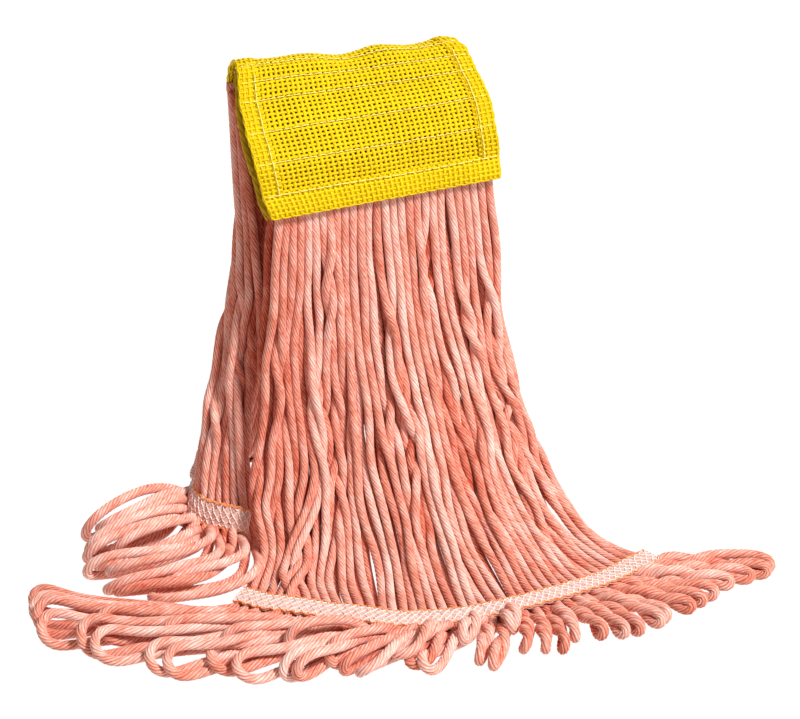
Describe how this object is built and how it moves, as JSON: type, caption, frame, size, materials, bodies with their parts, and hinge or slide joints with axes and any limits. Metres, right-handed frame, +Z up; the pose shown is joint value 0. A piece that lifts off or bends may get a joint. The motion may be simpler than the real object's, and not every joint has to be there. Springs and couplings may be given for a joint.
{
  "type": "string mop head",
  "caption": "Looped-end string mop head: pink four-ply yarn held in a folded yellow mesh headband, with a tail band across each skirt.",
  "frame": {"origin": "centre of the footprint, on the floor the mop head stands on", "axes": "+Z up, +X along the headband to the right, -Y towards the front skirt"},
  "size_m": [0.4379, 0.4402, 0.2889],
  "materials": {
    "pink_yarn": "matte twisted cotton-blend yarn",
    "yellow_mesh": "open-weave coated mesh",
    "pale_stitching": "lock stitching",
    "flecked_tape": "woven tape with white flecks",
    "orange_thread": "chain stitching"
  },
  "bodies": {
    "headband_front": {"headband_outer_mesh_front": "yellow_mesh", "headband_inner_mesh_front": "yellow_mesh", "yarn_core_front": "pink_yarn", "front_hem_stitching": "pale_stitching", "headband_stitch_row_1": "pale_stitching", "headband_stitch_row_2": "pale_stitching", "headband_stitch_row_3": "pale_stitching", "headband_stitch_row_4": "pale_stitching", "headband_stitch_row_5": "pale_stitching", "left_side_hem_stitching": "pale_stitching", "right_side_hem_stitching": "pale_stitching"},
    "headband_back": {"headband_outer_mesh_back": "yellow_mesh", "headband_inner_mesh_back": "yellow_mesh", "yarn_core_back": "pink_yarn", "back_hem_stitching": "pale_stitching"},
    "front_skirt": {"front_string_hank_1": "pink_yarn", "front_string_hank_2": "pink_yarn", "front_string_hank_3": "pink_yarn", "front_string_hank_4": "pink_yarn", "front_string_hank_5": "pink_yarn", "front_string_hank_6": "pink_yarn", "front_string_hank_7": "pink_yarn", "front_string_hank_8": "pink_yarn", "front_loop_fringe_1": "pink_yarn", "front_loop_fringe_2": "pink_yarn", "front_loop_fringe_3": "pink_yarn", "front_loop_fringe_4": "pink_yarn", "front_loop_fringe_5": "pink_yarn", "front_loop_fringe_6": "pink_yarn", "front_loop_fringe_7": "pink_yarn", "front_loop_fringe_8": "pink_yarn", "front_tail_band_outer": "flecked_tape", "front_tail_band_inner": "flecked_tape", "front_tail_band_thread_upper": "orange_thread", "front_tail_band_thread_lower": "orange_thread"},
    "back_skirt": {"back_string_hank_1": "pink_yarn", "back_string_hank_2": "pink_yarn", "back_string_hank_3": "pink_yarn", "back_string_hank_4": "pink_yarn", "back_string_hank_5": "pink_yarn", "back_string_hank_6": "pink_yarn", "back_string_hank_7": "pink_yarn", "back_string_hank_8": "pink_yarn", "back_loop_fringe_1": "pink_yarn", "back_loop_fringe_2": "pink_yarn", "back_loop_fringe_3": "pink_yarn", "back_loop_fringe_4": "pink_yarn", "back_loop_fringe_5": "pink_yarn", "back_loop_fringe_6": "pink_yarn", "back_loop_fringe_7": "pink_yarn", "back_loop_fringe_8": "pink_yarn", "back_tail_band_outer": "flecked_tape", "back_tail_band_inner": "flecked_tape", "back_tail_band_thread_upper": "orange_thread", "back_tail_band_thread_lower": "orange_thread"}
  },
  "joints": [
    {"name": "headband_fold", "type": "hinge", "parent": "headband_front", "child": "headband_back", "pos_m": [0.03853, 0.0514, 0.28833], "axis": [1, 0, 0], "range_deg": [0, 85]},
    {"name": "front_skirt_swing", "type": "hinge", "parent": "headband_front", "child": "front_skirt", "pos_m": [0.03853, 0.00714, 0.2086], "axis": [-1, 0, 0], "range_deg": [0, 70]},
    {"name": "back_skirt_swing", "type": "hinge", "parent": "headband_back", "child": "back_skirt", "pos_m": [0.03853, 0.06118, 0.26011], "axis": [1, 0, 0], "range_deg": [0, 65]}
  ]
}
